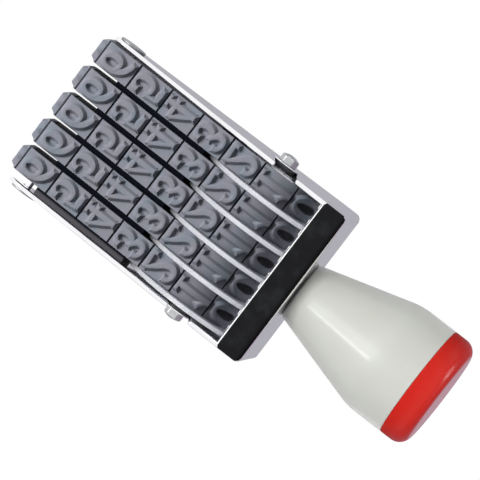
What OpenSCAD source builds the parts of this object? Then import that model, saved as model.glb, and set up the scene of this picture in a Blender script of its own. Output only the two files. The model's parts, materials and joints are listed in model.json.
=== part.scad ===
// Hand stamp with five rubber number bands.
// It stands upright on its printing face: +Z runs up the handle, X runs across
// the bands, and the numbers that are read before printing face -Y.
// The origin is the middle of the printing face.

/* [Number bands] */
// Number of bands side by side
band_count = 5; // [3:1:7]
// Width of a band
band_w = 7.8; // [6.5:0.1:10]
// Thickness of a band without its digits
band_t = 1.7; // [1.5:0.1:2.2]
// Height of the digits above the band
digit_relief = 1.3; // [0.8:0.1:1.6]
// Length of a digit's cell along the band
cell_len = 11.4; // [11:0.1:11.6]
// Height of a digit
digit_h = 9.8; // [7:0.1:10.2]
// Width of a digit
digit_w = 6.1; // [4:0.1:6.2]
// Width of a digit's strokes
digit_stroke = 1.4; // [0.8:0.1:1.5]
// Width of the groove between two cells
groove_w = 0.5; // [0.3:0.1:0.8]
// Depth of the groove between two cells
groove_depth = 0.5; // [0.3:0.1:0.8]

/* [Band wheels] */
// Height of the axle above the printing face
axle_z = 62.6; // [60:0.1:63]
// Radius of the drum that carries a band
drum_r = 12.4; // [11:0.1:12.6]
// Depth of the grip grooves in a drum
drum_groove = 0.5; // [0.3:0.1:0.8]
// Radius of a thumb disc
disc_r = 18.8; // [17.5:0.1:19]
// Thickness of a thumb disc
disc_t = 1.3; // [1:0.1:1.5]
// Number of teeth on the rim of a thumb disc
disc_teeth = 100; // [60:1:120]
// Depth of the teeth on the rim of a thumb disc
tooth_depth = 0.2; // [0.1:0.1:0.4]
// Wall of a drum's rim and web
drum_wall = 1.6; // [1.2:0.1:2]
// Outside diameter of a wheel's hub
hub_d = 8; // [6.5:0.1:9]
// Diameter of the axle
axle_d = 3; // [2.5:0.1:4]

/* [Anvil block] */
// Width of the flat nose that backs the printing digit
nose_flat = 9; // [8.6:0.1:10]
// Radius of the nose's two edges
nose_r = 0.8; // [0.6:0.1:1.2]
// Height of the slots between the fingers above the printing face
slot_z = 10.6; // [9.8:0.1:13]
// Gap between the top of the block and the thumb discs
block_gap = 0.8; // [0.5:0.1:5]
// Height of the cross pin above the printing face
pin_z = 34; // [28:0.1:36]
// Diameter of the cross pin
pin_d = 4; // [3:0.1:5]

/* [Frame] */
// Thickness of the sheet
sheet_t = 1.5; // [1.2:0.1:2]
// Depth of the frame from its front flange to its back flange
frame_depth = 36.6; // [35:0.1:39]
// Height of the frame's top above the axle
top_h = 24.8; // [23.5:0.1:33]
// Height of the front and back flanges
flange_h = 8.5; // [6:0.1:9]
// Inside radius of the bends around the frame's top
bend_in = 0.4; // [0.3:0.1:1.2]
// Radius of the rounded lower ends of the side plates
tip_r = 5.6; // [5.3:0.1:6]
// Height of the rivets in those ends above the printing face
tip_z = 7.6; // [7.4:0.1:8.5]
// Diameter of the rivet heads
rivet_head_d = 8.4; // [6:0.1:8.6]
// Height of the rivet heads
rivet_head_h = 0.6; // [0.4:0.1:0.9]
// Diameter of the rivet shanks
rivet_d = 2.2; // [2:0.1:2.6]
// Lean of the slots that the axle drops into, upwards to the front
slot_lean = 9; // [5:1:12]

/* [Axle fasteners] */
// Outside diameter of the bushes in the frame's slots
bush_d = 7.2; // [6:0.1:7.8]
// Outside diameter of the washers
washer_d = 8.6; // [8.4:0.1:10]
// Thickness of the washers
washer_t = 0.4; // [0.3:0.1:0.8]
// Width of the nuts across their flats
nut_af = 5; // [4.8:0.1:6]
// Height of the nuts
nut_h = 2.8; // [2.4:0.1:3.5]

/* [Handle] */
// Diameter of the handle where it meets the frame
neck_d = 18.6; // [16:0.1:22]
// Radius of the handle's lower edge
neck_r = 1.2; // [0.5:0.1:2]
// Largest diameter of the handle
handle_d = 35.2; // [32:0.1:38]
// Length of the handle without its cap
handle_len = 42; // [36:0.1:55]
// Length of the straight part under the cap
grip_len = 9; // [7:0.1:11]
// Radius of the curve between the cone and the straight part
grip_r = 20; // [12:1:35]
// Wall of the handle
handle_wall = 2.5; // [2:0.1:3]
// Height of the cap above the handle
cap_h = 7.9; // [7:0.1:10]
// Radius of the cap's outer edge
cap_r = 4.2; // [2:0.1:5]
// Depth of the cap's plug inside the handle
plug_h = 4; // [3:0.1:6]
// Diameter of the handle screw
screw_d = 4; // [3:0.1:5]
// Length of the handle screw's thread inside the handle
screw_len = 16; // [12:0.1:22]
// Diameter of the handle screw's head
screw_head_d = 8; // [7:0.1:9]
// Height of the handle screw's head
screw_head_h = 2.4; // [1.8:0.1:2.8]

/* [Hidden] */
$fn = 64;
// Running clearance between a drum and its band, and between the band and the block
run_gap = 0.3;
// Side clearance between neighbouring wheels
side_gap = 0.1;
// Side clearance at the first band and behind the last disc
first_gap = 0.35;
last_gap = 1;
// Clearance between a bore and its shaft, on the diameter
bore_gap = 0.16;
// Clearance of a bush in its slot, on the diameter
slot_gap = 0.2;
// Clearance of the cap's plug in the handle, on the diameter
plug_gap = 0.2;
// How deep a digit is rooted in its band
digit_root = 1.2;
// Each band carries ten digits and, on the length that they leave, five blank cells
digit_count = 10;
blank_count = 5;
digit_at_print = 7;
// How far past the middle of the nose the printing digit stands
print_shift = 0.2;
// Grip grooves around a drum
drum_grooves = 24;
groove_marks = [[0, 0], [0.45, 0], [0.55, 1], [0.9, 1]];
// Shape of the teeth on a thumb disc
tooth_marks = [[0, 0], [0.5, 1]];
// How far a finger stays inside its band's two edges
finger_inset = 0.2;
// How far a band stays inside its drum's two edges
band_inset = 0.1;
// Gap between the last disc and the bush that faces it
thrust_gap = 0.3;
// How far a rivet reaches into its finger
rivet_grip = 6;
// Wall of the boss that takes the handle screw
boss_wall = 3;
// Share of a nut's height that the axle fills
nut_fill = 0.7;
// Slot in the handle screw's head
screw_slot = 1;
// Cuts run this far past the solids they cut
over = 1;
// Straight edges start this far inside the round ends that they meet
tuck = 0.02;

drum_w = band_w + 2 * band_inset;
unit_w = drum_w + disc_t + side_gap;
inner_w = first_gap + band_count * unit_w - side_gap + last_gap;
outer_w = inner_w + 2 * sheet_t;
first_x = -inner_w / 2 + first_gap;
function drum_x(i) = first_x + i * unit_w;
function band_x(i) = drum_x(i) + (drum_w - band_w) / 2;

// The band's path: round the drum at the top and over the nose at the bottom.
path_r = drum_r + run_gap;
nose_z = band_t + digit_relief;
edge_y = nose_flat / 2;
edge_z = nose_z + nose_r;
edge_to_axle = [-edge_y, axle_z - edge_z];
run_angle = atan2(edge_to_axle[1], edge_to_axle[0])
          - acos(-(path_r - nose_r) / norm(edge_to_axle));
run_len = sqrt(pow(norm(edge_to_axle), 2) - pow(path_r - nose_r, 2));
function arm(r, angle) = [r * cos(angle), r * sin(angle)];

// Lengths are measured along the middle of the band's thickness.
mid_nose_r = nose_r + band_t / 2;
mid_drum_r = path_r + band_t / 2;
run_start = edge_y + mid_nose_r * (run_angle + 90) * PI / 180;
run_end = run_start + run_len;
loop_len = 2 * (run_end + mid_drum_r * (90 - run_angle) * PI / 180);
blank_len = (loop_len - digit_count * cell_len) / blank_count;
// Place along the band, up the front from the middle of the nose, of a digit's middle
function digit_place(n) = (digit_at_print - n) * cell_len + print_shift;
// Places of the grooves around the digits and between the blank cells
groove_places = concat(
    [for (n = [0 : digit_count]) digit_place(n - 0.5)],
    [for (k = [1 : blank_count - 1]) digit_place(-0.5) + k * blank_len]);

// Direction that the band faces at a distance along it from the middle of the nose
function face_angle(s) =
    s < edge_y ? -90
  : s < run_start ? -90 + (s - edge_y) / mid_nose_r * 180 / PI
  : s < run_end ? run_angle
  : run_angle + (s - run_end) / mid_drum_r * 180 / PI;
// Place on the band's outer surface at that distance, as [towards the front, up]
function face_point(s) = let (a = face_angle(s), out = nose_r + band_t)
    s < edge_y ? [s, edge_z - out]
  : s < run_start ? [edge_y, edge_z] + arm(out, a)
  : s < run_end ? [edge_y, edge_z] + arm(out, a) + arm(s - run_start, a + 90)
  : [0, axle_z] + arm(path_r + band_t, a);

frame_top = axle_z + top_h;
bend_r = bend_in + sheet_t;
flange_z = frame_top - flange_h;
block_top = axle_z - disc_r - block_gap;
slot_w = bush_d + slot_gap;
plate_out = outer_w / 2;
bush_in = last_gap - thrust_gap;
handle_r = handle_d / 2;
boss_d = screw_d + 2 * boss_wall;

// Extrude a side view, drawn as [back, up], along X from x
module along_x(x, length) {
    translate([x, 0, 0]) rotate([90, 0, 90]) linear_extrude(length) children();
}

// Extrude a front view, drawn as [right, up], through the given depth about Y = 0
module along_y(depth) {
    translate([0, depth / 2, 0]) rotate([90, 0, 0]) linear_extrude(depth) children();
}

// Lie a cylinder along X from x, at a height above the printing face
module rod_x(x, z, length, d) {
    translate([x, 0, z]) rotate([0, 90, 0]) cylinder(h = length, d = d);
}

// Put the children on both sides, the second as a mirror image of the first
module both_sides() {
    children();
    mirror([1, 0, 0]) children();
}

// Rectangle standing on z with two round upper corners
module round_top(w, z, top, r) {
    translate([-w / 2, z]) square([w, top - r - z]);
    translate([-w / 2 + r, z]) square([w - 2 * r, top - z]);
    for (side = [-1, 1]) translate([side * (w / 2 - r), top - r]) circle(r);
}

// Side view of everything inside the band's path, grown by d
module loop_shape(d) {
    right_edge = [edge_y, edge_z];
    wheel = [0, axle_z];
    low = right_edge + arm(nose_r + d - tuck, run_angle);
    high = wheel + arm(path_r + d - tuck, run_angle);
    foot = edge_z - nose_r - d;
    translate(wheel) circle(path_r + d);
    for (side = [-1, 1]) translate([side * edge_y, edge_z]) circle(nose_r + d);
    polygon([low, high, wheel, [-high[0], high[1]], [-low[0], low[1]],
             [-edge_y, edge_z], [-edge_y, foot], [edge_y, foot], right_edge]);
}

// Ring with a given outside radius and the digits' stroke
module digit_ring(r) {
    difference() {
        circle(r);
        circle(r - digit_stroke);
    }
}

// Upright oval of the digit's size, drawn in by d
module digit_oval(d) {
    r = digit_w / 2 - d;
    straight = digit_h - digit_w;
    for (side = [-1, 1]) translate([0, side * straight / 2]) circle(r);
    translate([-r, -straight / 2]) square([2 * r, straight]);
}

// One digit as it is read, about its own middle
module digit(n) {
    s = digit_stroke;
    w = digit_w / 2;
    h = digit_h / 2;
    bowl = (digit_h + s) / 4;
    bowl_y = h - bowl;
    if (n == 0) {
        difference() {
            digit_oval(0);
            digit_oval(s);
        }
    } else if (n == 1) {
        translate([-s / 2, -h]) square([s, 2 * h]);
        translate([-w * 0.7, -h]) square([w * 1.4, s * 0.7]);
        polygon([[-s / 2, h], [-w * 0.75, h - s * 1.6],
                 [-w * 0.75, h - s * 2.4], [-s / 2, h - s * 1.5]]);
    } else if (n == 2) {
        difference() {
            translate([0, bowl_y]) digit_ring(bowl);
            polygon([[-2 * w, bowl_y], [0, bowl_y], [2 * w, -s], [2 * w, -h], [-2 * w, -h]]);
        }
        polygon([[bowl * 0.62, bowl_y - bowl * 0.6], [bowl, bowl_y - s * 0.2],
                 [-w + 1.3 * s, -h], [-w, -h], [-w, -h + s * 0.7]]);
        translate([-w, -h]) square([2 * w, s]);
    } else if (n == 3) {
        difference() {
            for (side = [-1, 1]) translate([0, side * bowl_y]) digit_ring(bowl);
            translate([-2 * w, -bowl_y + s * 0.1]) square([2 * w - s * 0.4, 2 * bowl_y - s * 0.2]);
        }
    } else if (n == 4) {
        stem_x = w * 0.3;
        bar_y = -h * 0.45;
        translate([stem_x, -h]) square([s, 2 * h]);
        translate([-w, bar_y]) square([2 * w, s]);
        translate([stem_x - s * 0.6, -h]) square([s * 2.2, s * 0.6]);
        polygon([[-w, bar_y], [-w, bar_y + s], [stem_x, h],
                 [stem_x + s, h], [stem_x + s, h - s], [-w + s, bar_y]]);
    } else if (n == 5) {
        difference() {
            translate([0, -bowl_y]) digit_ring(bowl);
            translate([-2 * w, -bowl_y]) square([2 * w - s * 0.2, bowl - s]);
        }
        translate([-w, -s]) square([s, h + s]);
        translate([-w, -s]) square([w, s]);
        translate([-w, h - s]) square([2 * w, s]);
    } else if (n == 6) {
        translate([0, -bowl_y]) digit_ring(bowl);
        difference() {
            digit(0);
            translate([0, -h]) square([2 * w, h + bowl_y]);
            translate([-w * 0.4, -h - s]) square([2 * w, bowl + s]);
        }
    } else if (n == 7) {
        translate([-w, h - s]) square([2 * w, s]);
        polygon([[w - s, h - s * 0.5], [w, h - s * 0.5], [w, h - s],
                 [-w * 0.1, -h], [-w * 0.1 - s * 1.1, -h]]);
    } else if (n == 8) {
        for (side = [-1, 1]) translate([0, side * bowl_y]) digit_ring(bowl);
    } else {
        rotate(180) digit(6);
    }
}

// Stand the children on a band's outer surface, at a place along it
module on_band(along) {
    round_place = (along + loop_len) % loop_len;
    front = round_place <= loop_len / 2;
    s = front ? round_place : loop_len - round_place;
    place = face_point(s);
    facing = front ? face_angle(s) : 180 - face_angle(s);
    translate([0, front ? -place[0] : place[0], place[1]]) rotate([90 - facing, 0, 0]) children();
}

module number_band(i) {
    x = band_x(i);
    middle = x + band_w / 2;
    reach = band_t + digit_relief;
    color([0.5, 0.5, 0.53]) {
        difference() {
            along_x(x, band_w) difference() {
                loop_shape(band_t);
                loop_shape(0);
            }
            for (place = groove_places) translate([middle, 0, 0]) on_band(place)
                translate([-band_w / 2 - over, -groove_w / 2, -groove_depth])
                    cube([band_w + 2 * over, groove_w, groove_depth + over]);
        }
        intersection() {
            along_x(x, band_w) loop_shape(reach);
            for (n = [0 : digit_count - 1]) translate([middle, 0, 0]) on_band(digit_place(n))
                translate([0, 0, -digit_root])
                    linear_extrude(digit_root + reach) mirror([1, 0, 0]) digit(n);
        }
    }
}

// Rim with teeth or grooves, as [back, up] about the axle.
// Each mark is [share of the pitch, share of the depth].
module marked_rim(r, depth, count, marks) {
    step = 360 / count;
    polygon([for (k = [0 : count - 1], mark = marks) arm(r - mark[1] * depth, (k + mark[0]) * step)]);
}

// Drum, web, hub and thumb disc, moulded in one piece
module band_wheel(i) {
    x = drum_x(i);
    pocket = drum_w - drum_wall;
    color([0.85, 0.85, 0.87]) translate([0, 0, axle_z]) difference() {
        union() {
            along_x(x, drum_w) marked_rim(drum_r, drum_groove, drum_grooves, groove_marks);
            along_x(x + drum_w, disc_t) marked_rim(disc_r, tooth_depth, disc_teeth, tooth_marks);
        }
        along_x(x - over, pocket + over) difference() {
            circle(drum_r - drum_groove - drum_wall);
            circle(d = hub_d);
        }
        rod_x(x - over, 0, unit_w + 2 * over, axle_d + bore_gap);
    }
}

module axle() {
    length = outer_w + 2 * (washer_t + nut_h * nut_fill);
    color("silver") rod_x(-length / 2, axle_z, length, axle_d);
}

// Each bush fills its slot in the sheet, and the second also takes up the play beside the last disc
module axle_bushes() {
    color([0.16, 0.16, 0.17]) for (side = [-1, 1]) {
        inside = side > 0 ? bush_in : 0;
        start = side > 0 ? inner_w / 2 - inside : -plate_out;
        difference() {
            rod_x(start, axle_z, sheet_t + inside, bush_d);
            rod_x(start - over, axle_z, sheet_t + inside + 2 * over, axle_d + bore_gap);
        }
    }
}

module axle_washers() {
    color("gainsboro") both_sides() difference() {
        rod_x(plate_out, axle_z, washer_t, washer_d);
        rod_x(plate_out - over, axle_z, washer_t + 2 * over, axle_d + bore_gap);
    }
}

// Hexagon nuts with a domed end, blind so that they cover the ends of the axle
module axle_nuts() {
    corner_d = nut_af / cos(30);
    seat = plate_out + washer_t;
    dome_r = corner_d * 0.9;
    color("lightgray") both_sides() difference() {
        intersection() {
            translate([seat, 0, axle_z]) rotate([0, 90, 0]) cylinder(h = nut_h, d = corner_d, $fn = 6);
            translate([seat + nut_h - dome_r, 0, axle_z]) sphere(dome_r);
        }
        rod_x(seat - over, axle_z, nut_h * nut_fill + over, axle_d);
    }
}

// Side view of the frame: tapered side plates with round lower ends
module frame_side() {
    shoulder = [frame_depth / 2, flange_z];
    reach = shoulder - [0, tip_z];
    start_r = tip_r - tuck;
    start = [0, tip_z] + arm(start_r, atan2(reach[1], reach[0]) - acos(start_r / norm(reach)));
    translate([0, tip_z]) circle(tip_r);
    polygon([start, shoulder, [-shoulder[0], shoulder[1]], [-start[0], start[1]]]);
    round_top(frame_depth, flange_z, frame_top, bend_r);
}

// One folded sheet: the top, two long side plates, and a flange at the front and back
module frame() {
    inside_top = frame_top - sheet_t;
    inside_depth = frame_depth - 2 * sheet_t;
    low = tip_z - tip_r - over;
    color("silver") difference() {
        intersection() {
            along_y(frame_depth) round_top(outer_w, low, frame_top, bend_r);
            along_x(-plate_out, outer_w) frame_side();
        }
        intersection() {
            along_y(inside_depth) round_top(inner_w, low, inside_top, bend_in);
            along_x(-inner_w / 2, inner_w) round_top(inside_depth, low, inside_top, bend_in);
        }
        translate([-inner_w / 2, -frame_depth / 2 - over, low])
            cube([inner_w, frame_depth + 2 * over, flange_z - low]);
        translate([-plate_out - over, 0, axle_z]) rotate([-slot_lean, 0, 0])
            translate([0, -frame_depth, -slot_w / 2]) cube([outer_w + 2 * over, frame_depth, slot_w]);
        rod_x(-plate_out - over, axle_z, outer_w + 2 * over, slot_w);
        rod_x(-plate_out - over, tip_z, outer_w + 2 * over, rivet_d);
        rod_x(-plate_out - over, pin_z, outer_w + 2 * over, pin_d);
        translate([0, 0, inside_top - over]) cylinder(h = sheet_t + 2 * over, d = screw_d + bore_gap);
    }
}

// Comb-shaped block: one finger inside each band, joined above the slots
module anvil_block() {
    color([0.07, 0.07, 0.08]) difference() {
        union() {
            along_x(-inner_w / 2, inner_w) intersection() {
                loop_shape(-run_gap);
                translate([-drum_r, slot_z]) square([2 * drum_r, block_top - slot_z]);
            }
            for (i = [0 : band_count - 1]) along_x(finger_start(i), finger_end(i) - finger_start(i))
                intersection() {
                    loop_shape(0);
                    translate([-drum_r, 0]) square([2 * drum_r, slot_z]);
                }
        }
        rod_x(-inner_w / 2 - over, pin_z, inner_w + 2 * over, pin_d);
        rod_x(-inner_w / 2 - over, tip_z, rivet_grip + over, rivet_d);
        rod_x(finger_end(band_count - 1) - rivet_grip, tip_z, rivet_grip + over, rivet_d);
    }
}
// The first finger rests against the frame, and the others stay inside their bands' edges.
function finger_start(i) = i == 0 ? -inner_w / 2 : band_x(i) + finger_inset;
function finger_end(i) = band_x(i) + band_w - finger_inset;

module anvil_pin() {
    color("silver") rod_x(-plate_out, pin_z, outer_w, pin_d);
}

// Each rivet reaches through its plate into the nearest finger.
module tip_rivets() {
    color([0.55, 0.56, 0.58]) for (side = [-1, 1]) {
        inner_end = side < 0 ? -inner_w / 2 + rivet_grip : finger_end(band_count - 1) - rivet_grip;
        length = abs(side * plate_out - inner_end);
        rod_x(side < 0 ? -plate_out : inner_end, tip_z, length, rivet_d);
        rod_x(side < 0 ? -plate_out - rivet_head_h : plate_out, tip_z, rivet_head_h, rivet_head_d);
    }
}

// Outline of the handle from its neck to the cap, drawn in by d
function handle_curve(d) =
    let (centre = [handle_r - grip_r, handle_len - grip_len],
         neck = [neck_d / 2 - d, neck_r],
         to_neck = neck - centre,
         start = atan2(to_neck[1], to_neck[0]) + acos((grip_r - d) / norm(to_neck)),
         steps = 12)
    concat([neck], [for (k = [0 : steps]) centre + arm(grip_r - d, start * (1 - k / steps))],
           [[handle_r - d, handle_len]]);

// Rounded lower edge of the handle
function neck_curve() = let (steps = 4)
    [for (k = [0 : steps - 1]) [neck_d / 2 - neck_r, neck_r] + arm(neck_r, -90 + 90 * k / steps)];

module handle() {
    color([0.83, 0.83, 0.79]) translate([0, 0, frame_top]) difference() {
        union() {
            difference() {
                rotate_extrude($fn = 96)
                    polygon(concat([[0, 0]], neck_curve(), handle_curve(0), [[0, handle_len]]));
                translate([0, 0, handle_wall]) rotate_extrude($fn = 96)
                    polygon(concat([[0, neck_r]], handle_curve(handle_wall), [[0, handle_len]]));
            }
            cylinder(h = screw_len + handle_wall, d = boss_d);
        }
        translate([0, 0, -over]) cylinder(h = screw_len + over, d = screw_d);
    }
}

// Cap with a rounded edge and a plug that fits inside the handle
module handle_cap() {
    plug_r = handle_r - handle_wall - plug_gap / 2;
    flat_r = handle_r - cap_r;
    color("red") translate([0, 0, frame_top + handle_len]) rotate_extrude($fn = 96) difference() {
        union() {
            square([handle_r, cap_h - cap_r]);
            square([flat_r, cap_h]);
            translate([flat_r, cap_h - cap_r]) circle(cap_r);
            translate([0, -plug_h]) square([plug_r, plug_h]);
        }
        translate([0, -plug_h - over])
            square([plug_r - handle_wall, plug_h + over + cap_h - cap_r - handle_wall]);
    }
}

module handle_washer() {
    seat = frame_top - sheet_t;
    color("gainsboro") translate([0, 0, seat - washer_t]) difference() {
        cylinder(h = washer_t, d = screw_head_d + 2);
        translate([0, 0, -over]) cylinder(h = washer_t + 2 * over, d = screw_d + bore_gap);
    }
}

module handle_screw() {
    seat = frame_top - sheet_t - washer_t;
    slot_len = screw_head_d + 2 * over;
    color("silver") difference() {
        union() {
            translate([0, 0, seat]) cylinder(h = screw_len - over + sheet_t + washer_t, d = screw_d);
            translate([0, 0, seat - screw_head_h]) cylinder(h = screw_head_h, d = screw_head_d);
        }
        translate([-slot_len / 2, -screw_slot / 2, seat - screw_head_h - over])
            cube([slot_len, screw_slot, screw_slot + over]);
    }
}

frame();
anvil_block();
anvil_pin();
tip_rivets();
for (i = [1 : band_count]) {
    number_band(i - 1);
    band_wheel(i - 1);
}
axle();
axle_bushes();
axle_washers();
axle_nuts();
handle_screw();
handle_washer();
handle();
handle_cap();
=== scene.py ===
"""Looks of the roller number stamp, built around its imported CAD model.

Every length in the classes below is in millimetres, and meshes are written in metres.
The stamp stands on its printing face: +Z runs up the handle and the numbers face -Y.
"""

import json
import logging
import math
from dataclasses import dataclass, field
from enum import Enum
from typing import Any, Callable, Iterable, Sequence

import bmesh
import bpy
from mathutils import Matrix, Vector

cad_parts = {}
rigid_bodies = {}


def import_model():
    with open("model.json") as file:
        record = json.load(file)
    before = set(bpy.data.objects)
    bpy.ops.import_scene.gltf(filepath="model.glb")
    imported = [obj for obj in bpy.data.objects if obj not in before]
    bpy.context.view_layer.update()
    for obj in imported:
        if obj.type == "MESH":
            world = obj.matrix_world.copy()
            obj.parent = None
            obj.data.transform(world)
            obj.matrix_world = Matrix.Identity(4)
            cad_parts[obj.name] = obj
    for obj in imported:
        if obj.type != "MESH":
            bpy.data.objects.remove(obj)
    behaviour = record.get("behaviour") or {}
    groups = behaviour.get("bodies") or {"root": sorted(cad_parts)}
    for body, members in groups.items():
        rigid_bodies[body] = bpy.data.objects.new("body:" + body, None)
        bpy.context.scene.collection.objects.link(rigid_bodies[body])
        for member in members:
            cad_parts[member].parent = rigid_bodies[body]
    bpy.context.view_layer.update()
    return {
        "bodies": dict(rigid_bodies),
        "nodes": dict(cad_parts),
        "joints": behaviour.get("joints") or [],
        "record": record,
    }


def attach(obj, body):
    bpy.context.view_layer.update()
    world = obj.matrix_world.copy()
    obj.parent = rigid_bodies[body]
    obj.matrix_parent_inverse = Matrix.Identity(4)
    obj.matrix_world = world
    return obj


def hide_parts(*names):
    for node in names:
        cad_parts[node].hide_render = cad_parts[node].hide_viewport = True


LOG = logging.getLogger("number_stamp")
MM = 0.001
# Height of the axle, and the numbers of the bands and of their wheels
AXLE_Z = 62.6
NUMBERS = range(1, 6)
# Points of a CAD solid that are nearer than this are one point, in metres
WELD = 1e-6
# Faces that meet within the first angle are one face, and edges above the second are rounded
FLAT_WITHIN = math.radians(0.8)
ROUND_ABOVE = math.radians(28)
# Edges above this angle stay sharp in the shading
SHARP_ABOVE = math.radians(40)
Colour = tuple[float, float, float]
Point = tuple[float, float]
Place = tuple[float, float, float]


class Slot(Enum):
    """The record's material slots; the pieces are handed one but take their finishes from their
    Finish.
    """

    SHEET = "plated_sheet"
    BLOCK = "block"
    STEEL = "steel"
    BUSH = "bush"
    RUBBER = "band_rubber"
    WHEEL = "wheel"
    HANDLE = "handle"
    CAP = "cap"


class Body(Enum):
    """The moving bodies of the stamp; the wheels are numbered from the first band."""

    STAMP = "stamp"
    WHEEL = "wheel_{}"

    def at(self, number: int) -> str:
        """The body's name for the wheel of that number."""
        return self.value.format(number)


class Relief(float, Enum):
    """How high on a band a point lies; the rubber's colour goes by it, with painted shade on the
    low parts.
    """

    GROOVE = 0.0
    # Painted shade: the floor inside the nought, coloured darkest
    INK = 0.04
    BACK = 0.2
    LIP = 0.3
    WALL = 0.36
    FACE = 0.5
    SHOULDER = 0.62
    RIM = 0.9
    TOP = 1.0


class Share(Enum):
    """Whether a lamp lights some pieces alone or leaves them out."""

    ONLY = "INCLUDE"
    WITHOUT = "EXCLUDE"


class Wire:
    """A shader socket that can stand in a Python expression."""

    def __init__(self, graph: "Graph", socket: bpy.types.NodeSocket) -> None:
        """Keeps the socket and the graph that it belongs to."""
        self.graph = graph
        self.socket = socket

    def __add__(self, other: "Wire | float") -> "Wire":
        """Sum of two values."""
        return self.graph.math("ADD", self, other)

    __radd__ = __add__

    def __mul__(self, other: "Wire | float") -> "Wire":
        """Product of two values."""
        return self.graph.math("MULTIPLY", self, other)

    __rmul__ = __mul__

    def __sub__(self, other: "Wire | float") -> "Wire":
        """Difference of two values."""
        return self.graph.math("SUBTRACT", self, other)

    def __rsub__(self, other: "Wire | float") -> "Wire":
        """Difference with this value taken away."""
        return self.graph.math("SUBTRACT", other, self)

    def __lt__(self, other: "Wire | float") -> "Wire":
        """One where this value is the smaller, and nought elsewhere."""
        return self.graph.math("LESS_THAN", self, other)

    def __abs__(self) -> "Wire":
        """The value without its sign."""
        return self.graph.math("ABSOLUTE", self, 0.0)

    def smooth(self, low: float, high: float) -> "Wire":
        """Smooth step from nought at low to one at high.

        Args:
            low: Value where the step starts.
            high: Value where the step ends.

        Returns:
            The stepped value.
        """
        return self.graph.node(
            "ShaderNodeMapRange",
            {"interpolation_type": "SMOOTHSTEP"},
            {"Value": self, "From Min": low, "From Max": high},
        )

    def sibling(self, name: str) -> "Wire":
        """Another output of the same node."""
        return Wire(self.graph, self.socket.node.outputs[name])


class Graph:
    """The node tree of one material or of the world."""

    def __init__(self, tree: bpy.types.NodeTree) -> None:
        """Empties the tree, ready for new nodes.

        Args:
            tree: Node tree to fill.
        """
        self.tree = tree
        self.tree.nodes.clear()

    def node(
        self,
        kind: str,
        settings: dict[str, Any] | None = None,
        inputs: dict[str | int, Any] | None = None,
        output: str | int = 0,
    ) -> Wire:
        """Adds one node.

        Args:
            kind: Type of the node.
            settings: Properties of the node, set before its sockets.
            inputs: Values or wires of its sockets, by name or place.
            output: The socket that is handed back.

        Returns:
            The wire from that socket.
        """
        made = self.tree.nodes.new(kind)
        for key, value in (settings or {}).items():
            setattr(made, key, value)
        for key, value in (inputs or {}).items():
            if isinstance(value, Wire):
                self.tree.links.new(value.socket, made.inputs[key])
            else:
                made.inputs[key].default_value = value
        return Wire(self, made.outputs[output] if made.outputs else made.inputs[0])

    def math(self, operation: str, a: Wire | float, b: Wire | float) -> Wire:
        """Adds a Math node on two values."""
        return self.node("ShaderNodeMath", {"operation": operation}, {0: a, 1: b})

    def mix(self, share: Wire | float, a: Wire | Colour, b: Wire | Colour) -> Wire:
        """Mixes two colours.

        Args:
            share: Share of the second colour.
            a: First colour.
            b: Second colour.

        Returns:
            The mixed colour.
        """
        first = a if isinstance(a, Wire) else (*a, 1.0)
        second = b if isinstance(b, Wire) else (*b, 1.0)
        # Sockets 6 and 7 and output 2 of the node are its colours
        inputs = {0: share, 6: first, 7: second}
        return self.node("ShaderNodeMix", {"data_type": "RGBA"}, inputs, output=2)

    def place(self) -> Wire:
        """Coordinates fixed to the piece, in metres."""
        return self.node("ShaderNodeTexCoord", output="Object")

    def along(self, axis: str) -> Wire:
        """Distance along one axis of the piece, in metres."""
        return self.node("ShaderNodeSeparateXYZ", None, {0: self.place()}, output=axis)

    def noise(self, size: float, detail: float = 2.0, stretch: Place = (1, 1, 1)) -> Wire:
        """Soft noise with features of a real size.

        Args:
            size: Size of the features in millimetres.
            detail: Octaves of finer noise on top.
            stretch: How many times faster it changes along each axis.

        Returns:
            The noise, about 0.5 on the average.
        """
        where = self.node("ShaderNodeMapping", None, {"Vector": self.place(), "Scale": stretch})
        inputs = {"Vector": where, "Scale": 1 / (size * MM), "Detail": detail}
        return self.node("ShaderNodeTexNoise", None, inputs)

    def specks(self, pitch: float, share: float, radius: float) -> Wire:
        """Small round specks scattered over the surface.

        Args:
            pitch: Average distance between the places where a speck may be.
            share: Share of these places that have one.
            radius: Radius of a speck as a share of the pitch.

        Returns:
            One on a speck and nought elsewhere.
        """
        inputs = {"Vector": self.place(), "Scale": 1 / (pitch * MM)}
        away = self.node("ShaderNodeTexVoronoi", None, inputs, output="Distance")
        pick = self.node("ShaderNodeSeparateColor", None, {0: away.sibling("Color")})
        return (away < radius) * (pick < share)

    def bump(self, height: Wire, depth: float, strength: float = 1.0) -> Wire:
        """Surface relief.

        Args:
            height: Relief from nought to one.
            depth: Depth of the relief in millimetres.
            strength: Share of the relief that shows.

        Returns:
            The normal.
        """
        inputs = {"Height": height, "Distance": depth * MM, "Strength": strength}
        return self.node("ShaderNodeBump", None, inputs)

    def dust(self) -> Wire:
        """The few specks of dust on a bright surface."""
        return self.specks(2.6, 0.07, 0.055)

    def waves(self) -> Wire:
        """Normal of a sheet that isn't quite even."""
        return self.bump(self.noise(14.0, 1.0), 0.05, 0.25)


def new_material(name: str) -> tuple[bpy.types.Material, Graph]:
    """Makes a material.

    Args:
        name: Name of the material.

    Returns:
        The material and its empty node tree.
    """
    made = bpy.data.materials.new(name)
    made.use_nodes = True
    return made, Graph(made.node_tree)


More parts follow.
